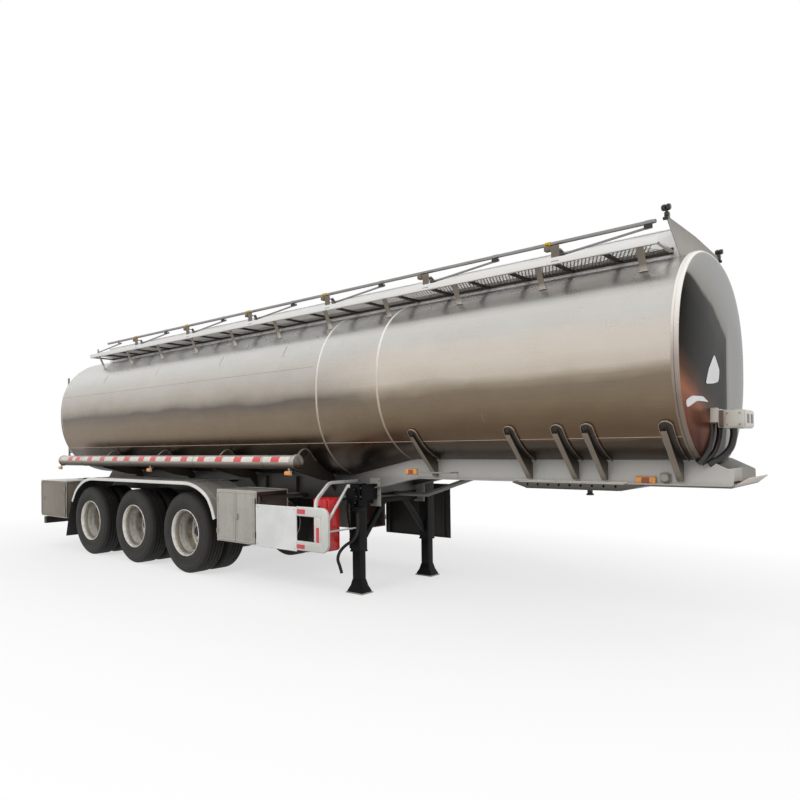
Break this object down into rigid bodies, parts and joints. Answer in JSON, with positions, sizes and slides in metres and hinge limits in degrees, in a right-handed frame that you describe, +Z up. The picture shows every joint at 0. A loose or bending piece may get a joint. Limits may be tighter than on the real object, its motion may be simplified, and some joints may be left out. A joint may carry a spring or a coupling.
{
  "type": "tank semi-trailer",
  "caption": "Aluminium tank semi-trailer with stepped neck, side hose tubes, top walkways with a folding handrail, toolboxes, spring axles with twin wheels and landing legs.",
  "frame": {"origin": "on the ground, in the middle of the overall length and width", "axes": "+X towards the coupling end, +Y to the trailer's left, +Z up"},
  "size_m": [10.93, 2.5026, 3.56],
  "materials": {
    "tank_shell": "brushed",
    "walkway_metal": "satin",
    "frame_paint": "satin",
    "box_paint": "satin",
    "black_steel": "satin",
    "tyre": "matte",
    "rubber": "matte",
    "wheel_silver": "gloss",
    "guard_white": "gloss",
    "red_plastic": "gloss"
  },
  "bodies": {
    "trailer": {"tank_barrel": "tank_shell", "tank_front_head": "tank_shell", "tank_rear_head": "tank_shell", "main_beam_right": "frame_paint", "main_beam_left": "frame_paint", "crossmembers": "frame_paint", "rear_bumper": "frame_paint", "coupler_plate": "black_steel", "axle_1": "black_steel", "axle_2": "black_steel", "axle_3": "black_steel", "landing_gear": "black_steel", "hose_tube_right": "tank_shell", "hose_tube_left": "tank_shell", "fender_right": "walkway_metal", "walkway_right": "walkway_metal", "mudflap_right": "rubber", "front_toolbox_right": "box_paint", "rear_toolbox_right": "box_paint", "side_guard_right": "guard_white", "fender_left": "walkway_metal", "walkway_left": "walkway_metal", "mudflap_left": "rubber", "front_toolbox_left": "box_paint", "rear_toolbox_left": "box_paint", "side_guard_left": "guard_white", "extinguisher_box": "red_plastic", "top_coaming": "walkway_metal", "rear_ladder": "walkway_metal", "connector_box": "walkway_metal", "drain_hose": "rubber"},
    "wheel_right_1": {"twin_tyres_right_1": "tyre", "hub_right_1": "wheel_silver"},
    "wheel_right_2": {"twin_tyres_right_2": "tyre", "hub_right_2": "wheel_silver"},
    "wheel_right_3": {"twin_tyres_right_3": "tyre", "hub_right_3": "wheel_silver"},
    "wheel_left_1": {"twin_tyres_left_1": "tyre", "hub_left_1": "wheel_silver"},
    "wheel_left_2": {"twin_tyres_left_2": "tyre", "hub_left_2": "wheel_silver"},
    "wheel_left_3": {"twin_tyres_left_3": "tyre", "hub_left_3": "wheel_silver"},
    "lid_1": {"manhole_lid_1": "walkway_metal"},
    "lid_2": {"manhole_lid_2": "walkway_metal"},
    "lid_3": {"manhole_lid_3": "walkway_metal"},
    "front_toolbox_door_rear_right": {"front_toolbox_door_rear_right": "box_paint"},
    "front_toolbox_door_front_right": {"front_toolbox_door_front_right": "box_paint"},
    "rear_toolbox_door_right": {"rear_toolbox_door_right": "box_paint"},
    "front_toolbox_door_rear_left": {"front_toolbox_door_rear_left": "box_paint"},
    "front_toolbox_door_front_left": {"front_toolbox_door_front_left": "box_paint"},
    "rear_toolbox_door_left": {"rear_toolbox_door_left": "box_paint"},
    "stanchion_1": {"stanchion_1": "walkway_metal"},
    "stanchion_2": {"stanchion_2": "walkway_metal"},
    "stanchion_3": {"stanchion_3": "walkway_metal"},
    "stanchion_4": {"stanchion_4": "walkway_metal"},
    "stanchion_5": {"stanchion_5": "walkway_metal"},
    "stanchion_6": {"stanchion_6": "walkway_metal"},
    "stanchion_7": {"stanchion_7": "walkway_metal"},
    "handrail": {"handrail": "walkway_metal"}
  },
  "joints": [
    {"name": "wheel_right_1_spin", "type": "hinge", "parent": "trailer", "child": "wheel_right_1", "pos_m": [-1.035, -0.92, 0.542], "axis": [0, 1, 0], "continuous": true},
    {"name": "wheel_right_2_spin", "type": "hinge", "parent": "trailer", "child": "wheel_right_2", "pos_m": [-2.345, -0.92, 0.542], "axis": [0, 1, 0], "continuous": true},
    {"name": "wheel_right_3_spin", "type": "hinge", "parent": "trailer", "child": "wheel_right_3", "pos_m": [-3.655, -0.92, 0.542], "axis": [0, 1, 0], "continuous": true},
    {"name": "wheel_left_1_spin", "type": "hinge", "parent": "trailer", "child": "wheel_left_1", "pos_m": [-1.035, 0.92, 0.542], "axis": [0, 1, 0], "continuous": true},
    {"name": "wheel_left_2_spin", "type": "hinge", "parent": "trailer", "child": "wheel_left_2", "pos_m": [-2.345, 0.92, 0.542], "axis": [0, 1, 0], "continuous": true},
    {"name": "wheel_left_3_spin", "type": "hinge", "parent": "trailer", "child": "wheel_left_3", "pos_m": [-3.655, 0.92, 0.542], "axis": [0, 1, 0], "continuous": true},
    {"name": "lid_1_hinge", "type": "hinge", "parent": "trailer", "child": "lid_1", "pos_m": [3.305, 0, 3.383], "axis": [0, -1, 0], "range_deg": [0, 100]},
    {"name": "lid_2_hinge", "type": "hinge", "parent": "trailer", "child": "lid_2", "pos_m": [0.205, 0, 3.383], "axis": [0, -1, 0], "range_deg": [0, 100]},
    {"name": "lid_3_hinge", "type": "hinge", "parent": "trailer", "child": "lid_3", "pos_m": [-3.295, 0, 3.383], "axis": [0, -1, 0], "range_deg": [0, 100]},
    {"name": "front_toolbox_door_rear_right_hinge", "type": "hinge", "parent": "trailer", "child": "front_toolbox_door_rear_right", "pos_m": [-0.308, -1.2453, 0.83], "axis": [0, 0, -1], "range_deg": [0, 100]},
    {"name": "front_toolbox_door_front_right_hinge", "type": "hinge", "parent": "trailer", "child": "front_toolbox_door_front_right", "pos_m": [0.438, -1.2453, 0.83], "axis": [0, 0, 1], "range_deg": [0, 100]},
    {"name": "rear_toolbox_door_right_hinge", "type": "hinge", "parent": "trailer", "child": "rear_toolbox_door_right", "pos_m": [-4.512, -1.2453, 0.83], "axis": [0, 0, 1], "range_deg": [0, 100]},
    {"name": "front_toolbox_door_rear_left_hinge", "type": "hinge", "parent": "trailer", "child": "front_toolbox_door_rear_left", "pos_m": [-0.308, 1.2453, 0.83], "axis": [0, 0, 1], "range_deg": [0, 100]},
    {"name": "front_toolbox_door_front_left_hinge", "type": "hinge", "parent": "trailer", "child": "front_toolbox_door_front_left", "pos_m": [0.438, 1.2453, 0.83], "axis": [0, 0, -1], "range_deg": [0, 100]},
    {"name": "rear_toolbox_door_left_hinge", "type": "hinge", "parent": "trailer", "child": "rear_toolbox_door_left", "pos_m": [-4.512, 1.2453, 0.83], "axis": [0, 0, -1], "range_deg": [0, 100]},
    {"name": "stanchion_1_fold", "type": "hinge", "parent": "trailer", "child": "stanchion_1", "pos_m": [4.085, -0.767, 3.4], "axis": [0, -1, 0], "range_deg": [0, 88]},
    {"name": "stanchion_2_fold", "type": "hinge", "parent": "trailer", "child": "stanchion_2", "pos_m": [2.692, -0.767, 3.4], "axis": [0, -1, 0], "range_deg": [0, 88]},
    {"name": "stanchion_3_fold", "type": "hinge", "parent": "trailer", "child": "stanchion_3", "pos_m": [1.299, -0.767, 3.4], "axis": [0, -1, 0], "range_deg": [0, 88]},
    {"name": "stanchion_4_fold", "type": "hinge", "parent": "trailer", "child": "stanchion_4", "pos_m": [-0.094, -0.767, 3.4], "axis": [0, -1, 0], "range_deg": [0, 88]},
    {"name": "stanchion_5_fold", "type": "hinge", "parent": "trailer", "child": "stanchion_5", "pos_m": [-1.487, -0.767, 3.4], "axis": [0, -1, 0], "range_deg": [0, 88]},
    {"name": "stanchion_6_fold", "type": "hinge", "parent": "trailer", "child": "stanchion_6", "pos_m": [-2.88, -0.767, 3.4], "axis": [0, -1, 0], "range_deg": [0, 88]},
    {"name": "stanchion_7_fold", "type": "hinge", "parent": "trailer", "child": "stanchion_7", "pos_m": [-4.273, -0.767, 3.4], "axis": [0, -1, 0], "range_deg": [0, 88]},
    {"name": "handrail_swing", "type": "hinge", "parent": "stanchion_1", "child": "handrail", "pos_m": [4.865, -0.767, 3.425], "axis": [0, -1, 0], "range_deg": [-88, 0]}
  ],
  "couplings": [
    {"joint": "stanchion_2_fold", "follows": "stanchion_1_fold", "ratio": 1},
    {"joint": "stanchion_3_fold", "follows": "stanchion_1_fold", "ratio": 1},
    {"joint": "stanchion_4_fold", "follows": "stanchion_1_fold", "ratio": 1},
    {"joint": "stanchion_5_fold", "follows": "stanchion_1_fold", "ratio": 1},
    {"joint": "stanchion_6_fold", "follows": "stanchion_1_fold", "ratio": 1},
    {"joint": "stanchion_7_fold", "follows": "stanchion_1_fold", "ratio": 1},
    {"joint": "handrail_swing", "follows": "stanchion_1_fold", "ratio": -1}
  ]
}
